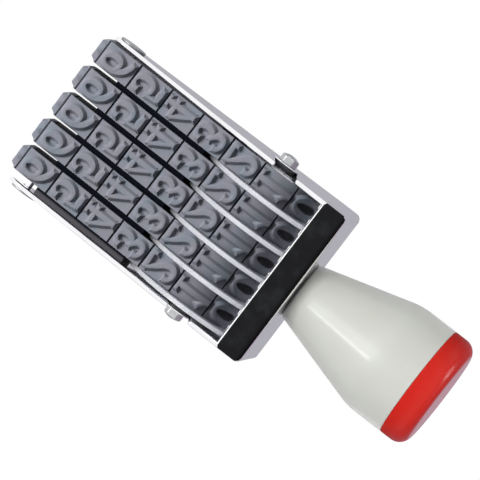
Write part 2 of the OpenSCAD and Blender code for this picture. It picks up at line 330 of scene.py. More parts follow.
@dataclass(frozen=True)
class Finish:
    """A finish with one colour; the finishes below vary it over the surface."""

    name: str
    colour: Colour
    roughness: float
    metallic: float = 0.0
    specular: float = 0.5

    def material(self) -> bpy.types.Material:
        """Makes the finish's material.

        Returns:
            The material with its nodes.
        """
        made, graph = new_material(self.name)
        made.diffuse_color = (*self.colour, 1.0)
        values: dict[str | int, Any] = {
            "Base Color": (*self.colour, 1.0),
            "Roughness": self.roughness,
            "Metallic": self.metallic,
            "Specular IOR Level": self.specular,
        }
        values.update(self.dress(graph))
        shader = graph.node("ShaderNodeBsdfPrincipled", None, values)
        graph.node("ShaderNodeOutputMaterial", None, {"Surface": shader})
        return made

    def dress(self, graph: Graph) -> dict[str, Any]:
        """What varies over the surface, by the shader's socket names."""
        return {}

    def tinted(self, red: float, green: float, blue: float) -> Colour:
        """The finish's colour with each part of it scaled, up to full."""
        red_part, green_part, blue_part = self.colour
        return min(1.0, red_part * red), min(1.0, green_part * green), min(1.0, blue_part * blue)

    def shaded(self, share: float) -> Colour:
        """The finish's colour, darker or paler as a whole."""
        return self.tinted(share, share, share)


@dataclass(frozen=True)
class NickelPlate(Finish):
    """Bright plate on bent sheet, with a little haze and dust."""

    dust: Colour = (0.7, 0.7, 0.7)

    def dress(self, graph: Graph) -> dict[str, Any]:
        """Haze in soft clouds, hairline rubs along the sheet and a few specks of dust.

        Args:
            graph: The material's nodes.

        Returns:
            Values and wires by the shader's socket names.
        """
        haze = graph.noise(9.0, 3.0).smooth(0.35, 0.75)
        rubs = graph.noise(0.5, 1.0, (1, 1, 0.03)).smooth(0.55, 0.8)
        dust = graph.dust()
        base = graph.mix(haze * 0.6, self.colour, self.shaded(0.9))
        return {
            "Base Color": graph.mix(dust, base, self.dust),
            "Roughness": haze * 0.05 + rubs * 0.03 + dust * 0.4 + self.roughness,
            "Metallic": 1 - dust,
            "Normal": graph.waves(),
        }


@dataclass(frozen=True)
class BandRubber(Finish):
    """Moulded rubber with bloom and fine grain, and painted shade towards the roots of the digits
    and in the grooves.
    """

    def dress(self, graph: Graph) -> dict[str, Any]:
        """Bloom in clouds, pale grain, and painted shade at the roots, in the grooves and in the
        nought's hollow.

        Args:
            graph: The material's nodes.

        Returns:
            Values and wires by the shader's socket names.
        """
        relief = graph.node("ShaderNodeAttribute", {"attribute_name": "relief"}, output="Fac")
        bloom = graph.noise(6.0, 3.0).smooth(0.42, 0.7)
        grain = graph.noise(0.3, 3.0)
        # Painted shade: low relief (the grooves, the walls and roots of the digits, the nought's
        # floor) is coloured darker
        low = (1 - relief.smooth(0.06, 0.38)) * 0.97
        worn = grain.smooth(0.5, 0.75) * relief.smooth(0.0, 0.1) * 0.45
        base = graph.mix(bloom * 0.8, self.colour, self.tinted(0.8, 0.96, 0.96))
        base = graph.mix(low, base, self.shaded(0.1))
        return {
            "Base Color": graph.mix(worn, base, self.shaded(1.4)),
            "Roughness": bloom * 0.12 + grain * 0.1 + self.roughness,
            "Normal": graph.bump(grain, 0.05, 0.5),
        }


@dataclass(frozen=True)
class DiscPlastic(Finish):
    """Pale moulded plastic that light soaks into, with grain and grey handling marks."""

    soak: float = 0.9
    soak_depth: float = 2.0

    def dress(self, graph: Graph) -> dict[str, Any]:
        """Grain of the moulding and faint grey handling marks.

        Args:
            graph: The material's nodes.

        Returns:
            Values and wires by the shader's socket names.
        """
        grain = graph.noise(0.35, 2.0)
        soil = graph.noise(3.5, 4.0).smooth(0.5, 0.85)
        grey = self.shaded(0.62)
        base = graph.mix(soil * 0.5, self.colour, grey)
        return {
            "Base Color": graph.mix(grain.smooth(0.55, 0.8) * 0.3, base, grey),
            "Roughness": soil * 0.15 + self.roughness,
            "Normal": graph.bump(grain, 0.03, 0.4),
            "Subsurface Weight": self.soak,
            "Subsurface Radius": (1.0, 1.0, 1.0),
            "Subsurface Scale": self.soak_depth * MM,
        }


@dataclass(frozen=True)
class BlackPlastic(Finish):
    """Black moulded plastic with a fine texture and a little dust."""

    dust: Colour = (0.2, 0.2, 0.21)
    # Paler grey at the outer ends: painted light on the block's shoulders beside the plates; the
    # bushes lie wholly beyond and wear it as their own colour
    rubbed: Colour = (0.07, 0.067, 0.075)
    rub_start: float = 22.2
    rub_end: float = 23.0

    def dress(self, graph: Graph) -> dict[str, Any]:
        """Fine moulded texture, grey dust in clouds, and paler grey at the outer ends beside the
        frame: painted light on the block's shoulders there, and the bushes' own grey.

        Args:
            graph: The material's nodes.

        Returns:
            Values and wires by the shader's socket names.
        """
        grain = graph.noise(0.3, 2.0)
        dust = graph.noise(6.0, 4.0).smooth(0.55, 0.85)
        # Painted light: the block's outer shoulders are coloured paler, as if lit
        rubbed = abs(graph.along("X")).smooth(self.rub_start * MM, self.rub_end * MM)
        base = graph.mix(dust * 0.02, self.colour, self.dust)
        return {
            "Base Color": graph.mix(rubbed, base, self.rubbed),
            "Roughness": grain * 0.15 + dust * 0.15 + self.roughness,
            "Normal": graph.bump(grain, 0.04, 0.5),
        }


@dataclass(frozen=True)
class BlackLacquer(Finish):
    """Smooth black lacquer on the frame's front lip, with hairlines and dust."""

    wiped: Colour = (0.3, 0.31, 0.3)
    dust: Colour = (0.5, 0.5, 0.5)

    def dress(self, graph: Graph) -> dict[str, Any]:
        """Faint hairlines across the lip, grey clouds of wiping and pale dust.

        Args:
            graph: The material's nodes.

        Returns:
            Values and wires by the shader's socket names.
        """
        hairs = graph.noise(0.35, 1.0, (0.12, 1, 1)).smooth(0.66, 0.8)
        wiped = graph.noise(5.0, 3.0).smooth(0.45, 0.8)
        dust = graph.dust()
        base = graph.mix(wiped * 0.03 + hairs * 0.03, self.colour, self.wiped)
        return {
            "Base Color": graph.mix(dust * 0.8, base, self.dust),
            "Roughness": wiped * 0.08 + hairs * 0.1 + dust * 0.3 + self.roughness,
            "Normal": graph.waves(),
        }


@dataclass(frozen=True)
class PlatedSteel(Finish):
    """Zinc-plated steel of small turned and pressed parts."""

    pit: Colour = (0.2, 0.19, 0.18)

    def dress(self, graph: Graph) -> dict[str, Any]:
        """Dull clouds in the plate, turning marks and darker pits.

        Args:
            graph: The material's nodes.

        Returns:
            Values and wires by the shader's socket names.
        """
        cloud = graph.noise(1.6, 3.0).smooth(0.3, 0.75)
        turned = graph.noise(0.2, 1.0, (1, 0.15, 0.15))
        pits = graph.specks(0.7, 0.15, 0.12)
        base = graph.mix(cloud, self.colour, self.shaded(0.72))
        return {
            "Base Color": graph.mix(pits * 0.5, base, self.pit),
            "Roughness": cloud * 0.14 + turned * 0.1 + self.roughness,
            "Normal": graph.bump(turned, 0.02, 0.4),
        }


@dataclass(frozen=True)
class HandlePlastic(Finish):
    """Pale satin plastic with faint flow clouds, fine texture and small scuffs."""

    coat: float = 0.5
    coat_roughness: float = 0.12

    def dress(self, graph: Graph) -> dict[str, Any]:
        """Flow clouds, satin texture and scuffs around the grip.

        Args:
            graph: The material's nodes.

        Returns:
            Values and wires by the shader's socket names.
        """
        cloud = graph.noise(16.0, 3.0).smooth(0.3, 0.75)
        grain = graph.noise(0.45, 2.0)
        scuff = graph.noise(1.2, 3.0, (1, 1, 0.25)).smooth(0.68, 0.8)
        base = graph.mix(cloud * 0.6, self.colour, self.tinted(0.95, 0.95, 0.9))
        return {
            "Base Color": graph.mix(scuff * 0.12, base, self.shaded(0.6)),
            "Roughness": cloud * 0.08 + grain * 0.06 + scuff * 0.12 + self.roughness,
            "Normal": graph.bump(grain, 0.03, 0.2),
            "Coat Weight": self.coat,
            "Coat Roughness": self.coat_roughness,
        }


@dataclass(frozen=True)
class CapPlastic(Finish):
    """Red satin plastic, slightly faded in clouds, with a polished lip and flat end."""

    coat_roughness: float = 0.12
    end: float = 137.2
    lip: Point = (6.0, 3.0)
    flat: float = 0.3

    def dress(self, graph: Graph) -> dict[str, Any]:
        """Faded clouds, rub marks, a faint orange-peel surface and polish towards the end.

        Args:
            graph: The material's nodes.

        Returns:
            Values and wires by the shader's socket names.
        """
        faded = graph.noise(7.0, 4.0).smooth(0.35, 0.8)
        rub = graph.noise(0.9, 3.0, (1, 1, 0.4)).smooth(0.64, 0.8)
        rise = graph.along("Z")
        lip = rise.smooth((self.end - self.lip[0]) * MM, (self.end - self.lip[1]) * MM)
        flat = rise.smooth((self.end - self.flat) * MM, self.end * MM)
        pale = self.tinted(1.1, 1.9, 1.9)
        return {
            "Base Color": graph.mix(faded * 0.35 + rub * 0.2, self.colour, pale),
            "Roughness": faded * 0.06 + rub * 0.12 + self.roughness,
            "Normal": graph.bump(graph.noise(1.1, 1.0), 0.03, 0.3),
            "Coat Weight": lip * 0.25 + flat * 0.75,
            "Coat Roughness": self.coat_roughness,
        }


NICKEL = NickelPlate("bright_nickel_plate", (0.93, 0.93, 0.95), 0.05, 1.0)
RUBBER = BandRubber("grey_band_rubber", (0.2, 0.199, 0.232), 0.55, 0.0, 0.06)
DISC = DiscPlastic("pale_disc_plastic", (0.7, 0.71, 0.77), 0.42)
BLACK = BlackPlastic("black_block_plastic", (0.0026, 0.0032, 0.0068), 0.5, 0.0, 0.02)
LACQUER = BlackLacquer("black_lip_lacquer", (0.008, 0.0082, 0.0094), 0.24, 0.0, 0.08)
STEEL = PlatedSteel("plated_steel", (0.6, 0.61, 0.62), 0.22, 1.0)
DULL_STEEL = PlatedSteel("dull_rivet_steel", (0.3, 0.31, 0.32), 0.34, 1.0)
BUSH = BlackPlastic("bush_plastic", (0.02, 0.02, 0.022), 0.34)
HANDLE = HandlePlastic("pale_handle_plastic", (0.55, 0.56, 0.525), 0.45)
CAP = CapPlastic("red_cap_plastic", (0.56, 0.02, 0.014), 0.4, 0.0, 0.03)


class Workshop:
    """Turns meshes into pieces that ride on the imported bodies."""

    def __init__(self, frame: dict[str, Any]) -> None:
        """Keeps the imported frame's CAD objects.
        """
        self.nodes: dict[str, bpy.types.Object] = frame["nodes"]
        self.materials: dict[str, bpy.types.Material] = {}

    def paint(self, finish: Finish) -> bpy.types.Material:
        """The material of a finish, made once.

        Args:
            finish: The finish.

        Returns:
            The material.
        """
        if finish.name not in self.materials:
            self.materials[finish.name] = finish.material()
        return self.materials[finish.name]

    def repaint(
        self,
        piece: bpy.types.Object,
        finish: Finish,
        chosen: Callable[[bpy.types.MeshPolygon], bool],
    ) -> None:
        """Gives some faces of a piece a second finish.

        Args:
            piece: The piece.
            finish: The second finish.
            chosen: Whether a face takes it.
        """
        piece.data.materials.append(self.paint(finish))
        for face in piece.data.polygons:
            face.material_index = int(chosen(face))

    def piece(
        self,
        name: str,
        node: str,
        mesh: bmesh.types.BMesh,
        finish: Finish,
        slot: Slot,
        body: str = Body.STAMP.value,
    ) -> bpy.types.Object:
        """Makes a piece that stands for a CAD node.

        Args:
            name: Name of the piece.
            node: The CAD node that it stands for.
            mesh: Its mesh, in metres in the row frame; it is freed here.
            finish: Its finish.
            slot: The record's material slot; not used.
            body: The body it rides on.

        Returns:
            The piece.
        """
        data = bpy.data.meshes.new(name)
        bmesh.ops.recalc_face_normals(mesh, faces=mesh.faces)
        mesh.to_mesh(data)
        mesh.free()
        data.shade_smooth()
        data.set_sharp_from_angle(angle=SHARP_ABOVE)
        data.materials.append(self.paint(finish))
        made = bpy.data.objects.new(name, data)
        bpy.context.scene.collection.objects.link(made)
        made.modifiers.new("even_normals", "WEIGHTED_NORMAL").keep_sharp = True
        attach(made, body)
        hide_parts(node)
        LOG.info("%s stands for %s on %s, %d faces", name, node, body, len(data.polygons))
        return made

    def softened(
        self,
        node: str,
        width: float,
        segments: int = 2,
        ease: Callable[[bmesh.types.BMesh], None] | None = None,
    ) -> bmesh.types.BMesh:
        """Copy of a CAD solid with its sharp outer edges rounded.

        Args:
            node: Name of the CAD node.
            width: Width of the rounding in millimetres.
            segments: Steps of the rounding.
            ease: What is done to the mesh before the rounding.

        Returns:
            The mesh.
        """
        mesh = bmesh.new()
        mesh.from_mesh(self.nodes[node].data)
        bmesh.ops.remove_doubles(mesh, verts=mesh.verts, dist=WELD)
        bmesh.ops.dissolve_limit(
            mesh, angle_limit=FLAT_WITHIN, verts=mesh.verts, edges=mesh.edges
        )
        if ease:
            ease(mesh)
        sharp = [
            edge
            for edge in mesh.edges
            if edge.is_convex and edge.calc_face_angle(0.0) > ROUND_ABOVE
        ]
        bmesh.ops.bevel(
            mesh,
            geom=sharp,
            offset=width * MM,
            offset_type="OFFSET",
            segments=segments,
            profile=0.5,
            affect="EDGES",
            clamp_overlap=False,
        )
        return mesh

    def fitting(
        self, name: str, node: str, finish: Finish, slot: Slot, edge: float, segments: int = 2
    ) -> bpy.types.Object:
        """Makes a piece of the root body that is a CAD solid with rounded edges.

        Args:
            name: Name of the piece.
            node: The CAD node that it stands for.
            finish: Its finish.
            slot: The record's material slot.
            edge: Width of the rounding in millimetres.
            segments: Steps of the rounding.

        Returns:
            The piece.
        """
        return self.piece(name, node, self.softened(node, edge, segments), finish, slot)


def revolved(profile: Sequence[Point], base: float, steps: int = 128) -> bmesh.types.BMesh:
    """Turns a profile about the Z axis.

    Args:
        profile: Points as (radius, height), from the axis to the axis.
        base: Height of the profile's zero.
        steps: Number of steps around.

    Returns:
        The closed mesh.
    """
    mesh = bmesh.new()
    turn = [2 * math.pi * k / steps for k in range(steps)]
    rings: list[list[bmesh.types.BMVert]] = []
    for radius, height in profile:
        reach, z = radius * MM, (base + height) * MM
        if radius:
            spots = [(reach * math.cos(a), reach * math.sin(a), z) for a in turn]
        else:
            spots = [(0, 0, z)]
        rings.append([mesh.verts.new(spot) for spot in spots])
    for lower, upper in zip(rings, rings[1:]):
        for k in range(steps):
            n = (k + 1) % steps
            if len(lower) == 1:
                mesh.faces.new((lower[0], upper[k], upper[n]))
            elif len(upper) == 1:
                mesh.faces.new((lower[k], lower[n], upper[0]))
            else:
                mesh.faces.new((lower[k], lower[n], upper[n], upper[k]))
    return mesh


def held(value: float, limit: float) -> float:
    """The value, kept within a limit on either side of nought."""
    return max(-limit, min(limit, value))


def arc(centre: Point, radius: float, start: float, end: float, steps: int) -> list[Point]:
    """Points on an arc, with its angles in degrees.

    Args:
        centre: Centre of the arc.
        radius: Radius of the arc.
        start: Angle of the first point.
        end: Angle of the last point.
        steps: Number of steps between them.

    Returns:
        The points.
    """
    angles = [math.radians(start + (end - start) * k / steps) for k in range(steps + 1)]
    return [(centre[0] + radius * math.cos(a), centre[1] + radius * math.sin(a)) for a in angles]


@dataclass(frozen=True)
class Stroke:
    """One pen stroke of a digit: points as (right, up, half of its width)."""

    points: tuple[Place, ...]
    closed: bool = False
    # Painted shade: how much the walls of its hollow are coloured darker
    stain: float = 0.0

    def turned(self) -> "Stroke":
        """The stroke turned half round."""
        return Stroke(tuple((-x, -y, w) for x, y, w in self.points), self.closed)

    def line(self, steps: int = 6) -> list[Place]:
        """The smooth line through the points.

        Args:
            steps: Steps between two points.

        Returns:
            The line's points, each with half of the stroke's width there.
        """
        count = len(self.points)
        spans = count if self.closed else count - 1
        made = []
        for span in range(spans):
            a, b, c, d = (self._near(span + shift) for shift in (-1, 0, 1, 2))
            for step in range(steps):
                t = step / steps
                made.append(tuple(self._curve(t, *four) for four in zip(a, b, c, d)))
        if not self.closed:
            made.append(self.points[-1])
        return made

    def _near(self, place: int) -> Place:
        """The point at a place, going round or stopping at the ends.

        Args:
            place: Number of the point.

        Returns:
            The point.
        """
        count = len(self.points)
        if self.closed:
            return self.points[place % count]
        return self.points[min(max(place, 0), count - 1)]

    @staticmethod
    def _curve(t: float, a: float, b: float, c: float, d: float) -> float:
        """Curve from b to c that leaves and arrives in line with its neighbours."""
        bend = (2 * a - 5 * b + 4 * c - d) * t * t
        return 0.5 * (2 * b + (c - a) * t + bend + (3 * b - a - 3 * c + d) * t**3)


def ring(
    centre: Point, across: float, tall: float, thin: float, thick: float, stain: float = 0.0
) -> Stroke:
    """Closed oval stroke that is thick at its sides.

    Args:
        centre: Centre of the oval.
        across: Its radius to the side.
        tall: Its radius upwards.
        thin: Half of the stroke's width at the top and bottom.
        thick: Half of the stroke's width at the sides.
        stain: How much painted shade darkens the walls of its hollow.

    Returns:
        The stroke.
    """
    steps = 12
    points = []
    for k in range(steps):
        a = 2 * math.pi * k / steps
        width = thin + (thick - thin) * math.cos(a) ** 2
        points.append((centre[0] + across * math.cos(a), centre[1] + tall * math.sin(a), width))
    return Stroke(tuple(points), True, stain)


SIX = (
    Stroke(
        ((-0.3, 1.05, 0.45), (1.0, 0.5, 0.72), (1.55, -1.4, 0.88), (1.0, -3.3, 0.78),
         (-0.5, -4.2, 0.5), (-2.0, -3.4, 0.58), (-2.55, -1.6, 0.62), (-1.9, 0.3, 0.5)),
        True,
    ),
    Stroke(
        ((2.5, 4.3, 0.4), (1.2, 4.0, 0.62), (-0.6, 2.9, 0.74), (-1.9, 1.2, 0.76),
         (-2.5, -0.6, 0.68), (-2.55, -1.6, 0.62)),
    ),
)
DIGITS: dict[int, tuple[Stroke, ...]] = {
    0: (ring((0, 0), 2.2, 4.5, 0.46, 0.84, 0.75),),
    1: (
        Stroke(((0.1, 4.8, 0.74), (0.1, 0.0, 0.74), (0.1, -4.7, 0.74))),
        Stroke(((-2.1, -4.5, 0.46), (0.1, -4.5, 0.5), (2.3, -4.5, 0.46))),
        Stroke(((-0.1, 4.0, 0.6), (-1.1, 3.2, 0.52), (-2.3, 2.4, 0.42))),
    ),
    2: (
        Stroke(
            ((-1.9, 2.2, 0.76), (-1.8, 3.4, 0.62), (-0.5, 4.5, 0.44), (1.2, 4.1, 0.7),
             (2.0, 2.5, 0.86), (1.2, 0.6, 0.76), (-0.8, -1.6, 0.52), (-2.3, -3.8, 0.42)),
        ),
        Stroke(
            ((-2.6, -4.3, 0.5), (-1.0, -4.05, 0.64), (1.0, -4.25, 0.7), (2.3, -4.1, 0.6),
             (2.7, -2.9, 0.36)),
        ),
    ),
    3: (
        Stroke(
            ((-2.0, 2.4, 0.74), (-1.7, 3.6, 0.6), (-0.2, 4.5, 0.42), (1.4, 3.8, 0.72),
             (1.7, 2.4, 0.8), (0.9, 1.2, 0.7), (-0.8, 0.1, 0.45)),
        ),
        Stroke(
            ((-0.8, 0.1, 0.45), (1.0, 0.2, 0.62), (2.0, -1.9, 0.84), (1.2, -4.0, 0.7),
             (-0.3, -4.4, 0.45), (-1.8, -3.6, 0.6), (-2.1, -2.5, 0.76)),
        ),
    ),
    4: (
        Stroke(((1.3, 4.5, 0.52), (-0.8, 1.4, 0.42), (-2.6, -1.6, 0.44))),
        Stroke(((-2.85, -1.9, 0.5), (0.0, -1.9, 0.5), (2.85, -1.9, 0.5))),
        Stroke(((1.1, 4.7, 0.7), (1.1, 0.0, 0.7), (1.1, -4.7, 0.7))),
        Stroke(((-0.6, -4.55, 0.42), (1.1, -4.55, 0.46), (2.7, -4.55, 0.42))),
    ),
    5: (
        Stroke(((-1.9, 4.15, 0.62), (0.4, 4.15, 0.76), (2.2, 4.45, 0.5))),
        Stroke(((-1.7, 4.2, 0.42), (-1.9, 2.2, 0.4), (-2.0, 0.6, 0.4))),
        Stroke(
            ((-2.0, 0.5, 0.4), (-0.6, 1.35, 0.46), (1.2, 0.9, 0.7), (2.1, -1.4, 0.88),
             (1.3, -3.9, 0.7), (-0.4, -4.5, 0.42), (-1.9, -3.6, 0.6), (-2.1, -2.6, 0.74)),
        ),
    ),
    6: SIX,
    7: (
        Stroke(
            ((-2.6, 2.8, 0.36), (-2.2, 3.9, 0.56), (-0.8, 4.2, 0.68), (1.0, 4.1, 0.62),
             (2.5, 4.4, 0.42)),
        ),
        Stroke(((2.4, 4.1, 0.42), (1.0, 1.6, 0.52), (0.0, -1.2, 0.76), (-0.4, -4.7, 0.9))),
    ),
    8: (ring((0, 2.45), 1.65, 2.05, 0.42, 0.7), ring((0, -2.1), 2.1, 2.4, 0.42, 0.82)),
    9: tuple(stroke.turned() for stroke in SIX),
}


@dataclass(frozen=True)
class BandPath:
    """The band's way round its drum and over the nose, measured along the band."""

    drum: float = 12.7
    nose_flat: float = 9.0
    nose: float = 0.8
    thick: float = 1.7
    relief: float = 1.3
    cell: float = 11.4
    print_shift: float = 0.2
    at_print: int = 7
    digits: int = 10
    blanks: int = 5

    @property
    def edge(self) -> Point:
        """Centre of the nose's front edge, as (forwards, up)."""
        return self.nose_flat / 2, self.thick + self.relief + self.nose

    @property
    def lean(self) -> float:
        """Direction that the straight run faces, in radians."""
        dy, dz = -self.edge[0], AXLE_Z - self.edge[1]
        return math.atan2(dz, dy) - math.acos(-(self.drum - self.nose) / math.hypot(dy, dz))

    @property
    def stops(self) -> tuple[float, float, float, float]:
        """Places along the band where its way changes.

        Returns:
            Starts of the nose's edge, the run and the drum, and the middle of the back.
        """
        start, up = self.edge
        run_start = start + (self.nose + self.thick / 2) * (self.lean + math.pi / 2)
        span = math.hypot(start, AXLE_Z - up)
        run_end = run_start + math.sqrt(span**2 - (self.drum - self.nose) ** 2)
        half = run_end + (self.drum + self.thick / 2) * (math.pi / 2 - self.lean)
        return start, run_start, run_end, half

    @property
    def length(self) -> float:
        """Length of the whole loop."""
        return 2 * self.stops[3]

    def place(self, digit: float) -> float:
        """Distance of a digit's middle up the front from the middle of the nose."""
        return (self.at_print - digit) * self.cell + self.print_shift

    def cells(self) -> list[tuple[float, float]]:
        """All cells around the band.

        Returns:
            The start and end of each cell, with the digits' cells first.
        """
        blank = (self.length - self.digits * self.cell) / self.blanks
        first = self.place(self.digits - 0.5)
        last = first + self.digits * self.cell
        made = [(first + k * self.cell, first + (k + 1) * self.cell) for k in range(self.digits)]
        made.extend((last + k * blank, last + (k + 1) * blank) for k in range(self.blanks))
        return made

    def at(self, along: float, height: float) -> Point:
        """Place on or above the band's outer face.

        Args:
            along: Distance along the band from the middle of the nose.
            height: Height above the face.

        Returns:
            The place as (y, z).
        """
        flat, run_start, run_end, half = self.stops
        s = along % self.length
        side = -1 if s <= half else 1
        s = min(s, self.length - s)
        out = self.nose + self.thick + height
        forward, up = self.edge
        if s < flat:
            return side * s, up - out
        if s < run_end:
            a = self.lean
            if s < run_start:
                a = -math.pi / 2 + (s - flat) / (self.nose + self.thick / 2)
            far = max(0.0, s - run_start)
            y = forward + out * math.cos(a) - far * math.sin(a)
            return side * y, up + out * math.sin(a) + far * math.cos(a)
        a = self.lean + (s - run_end) / (self.drum + self.thick / 2)
        reach = self.drum + self.thick + height
        return side * reach * math.cos(a), AXLE_Z + reach * math.sin(a)


@dataclass
class BandMesh:
    """The mesh of one band, which takes points that are measured along the band."""

    path: BandPath
    middle: float
    mesh: bmesh.types.BMesh = field(default_factory=bmesh.new)

    def __post_init__(self) -> None:
        """Adds the layer that tells the rubber how high on the relief a point lies."""
        self.layer = self.mesh.verts.layers.float.new("relief")

    def point(
        self, across: float, along: float, height: float, relief: float
    ) -> bmesh.types.BMVert:
        """Adds a point.

        Args:
            across: Distance from the band's middle, along X.
            along: Distance along the band from the middle of the nose.
            height: Height above the band's face.
            relief: How high on the band it lies.

        Returns:
            The point.
        """
        y, z = self.path.at(along, height)
        made = self.mesh.verts.new(((self.middle + across) * MM, y * MM, z * MM))
        made[self.layer] = relief
        return made

    def skin(self, rings: Sequence[Sequence[bmesh.types.BMVert]], closed: bool) -> None:
        """Joins each ring of points to the next.

        Args:
            rings: Rings with the same number of points.
            closed: Whether the last ring joins the first; otherwise both ends get a lid.
        """
        pairs = list(zip(rings, rings[1:]))
        if closed:
            pairs.append((rings[-1], rings[0]))
        for this, after in pairs:
            for k in range(len(this)):
                n = (k + 1) % len(this)
                self.mesh.faces.new((this[k], this[n], after[n], after[k]))
        if not closed:
            self.mesh.faces.new(rings[0])
            self.mesh.faces.new(list(reversed(rings[-1])))


@dataclass
class NumberBands:
    """Five endless rubber bands with raised digits that read in a mirror."""

    shop: Workshop
    path: BandPath = field(default_factory=BandPath)
    width: float = 7.8
    pitch: float = 9.4
    first: float = -19.775
    edge: float = 0.22
    edge_shade: float = 0.8
    bevel: float = 0.06
    row_step: float = 0.55
    groove: float = 0.5
    groove_depth: float = 0.5
    groove_lip: float = 0.1
    lip_drop: float = 0.08
    root: float = 0.5
    root_out: float = 0.3
    draft: float = 0.78
    shoulder: float = 0.22
    shoulder_out: float = 0.12
    rim_out: float = 0.03
    top_in: float = 0.08
    rank_drop: float = 0.02
    side_margin: float = 0.05
    cell_margin: float = 0.12
    hollow: Point = (0.8, 3.5)
    hollow_floor: float = 0.04

    def build(self) -> None:
        """Makes all the bands."""
        for number in NUMBERS:
            band = BandMesh(self.path, self.first + (number - 1) * self.pitch)
            self._strip(band)
            for digit, strokes in DIGITS.items():
                for rank, stroke in enumerate(strokes):
                    self._stroke(band, self.path.place(digit), stroke, rank)
            self._hollow(band, self.path.place(0))
            node = f"number_band_{number}"
            self.shop.piece(f"{node}_rubber", node, band.mesh, RUBBER, Slot.RUBBER)

    def _rows(self) -> list[Place]:
        """Rows of points along the band, close together at its grooves.

        Returns:
            The rows as (distance, height of the face, relief).
        """
        rows = []
        for start, stop in self.path.cells():
            inner = start + self.groove / 2 + self.groove_lip
            end = stop - self.groove / 2 - self.groove_lip
            for edge in (self.groove_lip - self.groove / 2, self.groove / 2 - self.groove_lip):
                rows.append((start + edge, -self.groove_depth, Relief.GROOVE))
            rows.append((inner - self.bevel, -self.lip_drop, Relief.LIP))
            parts = max(2, round((end - inner) / self.row_step))
            for k in range(parts + 1):
                rows.append((inner + (end - inner) * k / parts, 0.0, Relief.FACE))
            rows.append((end + self.bevel, -self.lip_drop, Relief.LIP))
        return rows

    def _strip(self, band: BandMesh) -> None:
        """Adds the plain band with its grooves.

        Args:
            band: Mesh to add to.
        """
        half = self.width / 2
        rings = []
        for along, height, relief in self._rows():
            side = (
                (half, -self.path.thick, Relief.BACK),
                (half, height - self.edge, relief * self.edge_shade),
                (half - self.bevel, height - self.bevel, relief),
                (half - self.edge, height, relief),
            )
            outline = [(-x, up, value) for x, up, value in side]
            outline += [(0.0, height, relief), *reversed(side)]
            rings.append([band.point(x, along, up, value) for x, up, value in outline])
        band.skin(rings, True)

    def _hollow(self, band: BandMesh, along: float) -> None:
        """Adds a floor inside the nought, coloured dark as painted shade.

        Args:
            band: Mesh to add to.
            along: Distance of the digit's middle along the band.
        """
        wide, tall = self.hollow
        rings = []
        for angle in range(-80, 81, 10):
            half = wide * math.cos(math.radians(angle))
            place = along + tall * math.sin(math.radians(angle))
            corners = ((-half, self.hollow_floor), (half, self.hollow_floor))
            corners += ((half, -self.root), (-half, -self.root))
            rings.append([band.point(x, place, up, Relief.INK) for x, up in corners])
        band.skin(rings, False)

    def _section(self, top: float) -> list[tuple[int, float, float, float]]:
        """Section across a stroke, with drafted walls and a rounded top edge.

        Args:
            top: Height of the stroke.

        Returns:
            Points as (side, distance outside the stroke's width, height, relief).
        """
        wall = (
            (self.draft + self.root_out, -self.root, Relief.LIP),
            (self.draft, 0.0, Relief.WALL),
            (self.shoulder_out, top - self.shoulder, Relief.SHOULDER),
            (self.rim_out, top - self.bevel, Relief.RIM),
            (-self.top_in, top, Relief.TOP),
        )
        return [(1, *part) for part in wall] + [(-1, *part) for part in reversed(wall)]

    def _stroke(self, band: BandMesh, along: float, stroke: Stroke, rank: int) -> None:
        """Adds one stroke of a digit.

        Args:
            band: Mesh to add to.
            along: Distance of the digit's middle along the band.
            stroke: The stroke.
            rank: Number of the stroke in its digit; each lies a hair lower than the one before.
        """
        section = self._section(self.path.relief - self.rank_drop * rank)
        side_limit = self.width / 2 - self.side_margin
        cell_limit = self.path.cell / 2 - self.groove / 2 - self.cell_margin
        line = stroke.line()
        last = len(line) - 1
        rings = []
        for k, (x, y, wide) in enumerate(line):
            before = line[k - 1] if stroke.closed or k else line[k]
            after = line[(k + 1) % len(line)] if stroke.closed or k < last else line[k]
            dx, dy = after[0] - before[0], after[1] - before[1]
            size = math.hypot(dx, dy)
            nx, ny = -dy / size, dx / size
            end = 0 if stroke.closed else (k == last) - (k == 0)
            row = []
            for side, grow, up, value in section:
                reach = side * (wide + grow)
                away = end * max(grow, 0.0)
                across = held(x + reach * nx + away * dx / size, side_limit)
                rise = held(y + reach * ny + away * dy / size, cell_limit)
                # Painted shade: walls on the hollow's side of a ring get a lower relief, which the
                # rubber colours darker
                shaded_wall = side > 0 and value < Relief.RIM
                relief = value * (1 - stroke.stain) if shaded_wall else value
                row.append(band.point(-across, along + rise, up, relief))
            rings.append(row)
        band.skin(rings, stroke.closed)


@dataclass
class BandWheels:
    """Five wheels, each a drum for its band with a toothed thumb disc."""

    shop: Workshop
    edge: float = 0.12
    rim: float = 18.75
    tooth: float = 0.2
    worn: float = 0.4

    def build(self) -> None:
        """Makes all the wheels on their own bodies."""
        for number in NUMBERS:
            node = f"band_wheel_{number}"
            mesh = self.shop.softened(node, self.edge)
            self._wear(mesh)
            body = Body.WHEEL.at(number)
            self.shop.piece(f"{node}_moulding", node, mesh, DISC, Slot.WHEEL, body)

    def _wear(self, mesh: bmesh.types.BMesh) -> None:
        """Rubs the rim's fine teeth down to a share of their depth.

        Args:
            mesh: Mesh of a wheel.
        """
        for vert in mesh.verts:
            y, z = vert.co.y / MM, vert.co.z / MM - AXLE_Z
            radius = math.hypot(y, z)
            if radius > self.rim - self.tooth:
                scale = (self.rim + (radius - self.rim) * self.worn) / radius
                vert.co.y = y * scale * MM
                vert.co.z = (z * scale + AXLE_Z) * MM


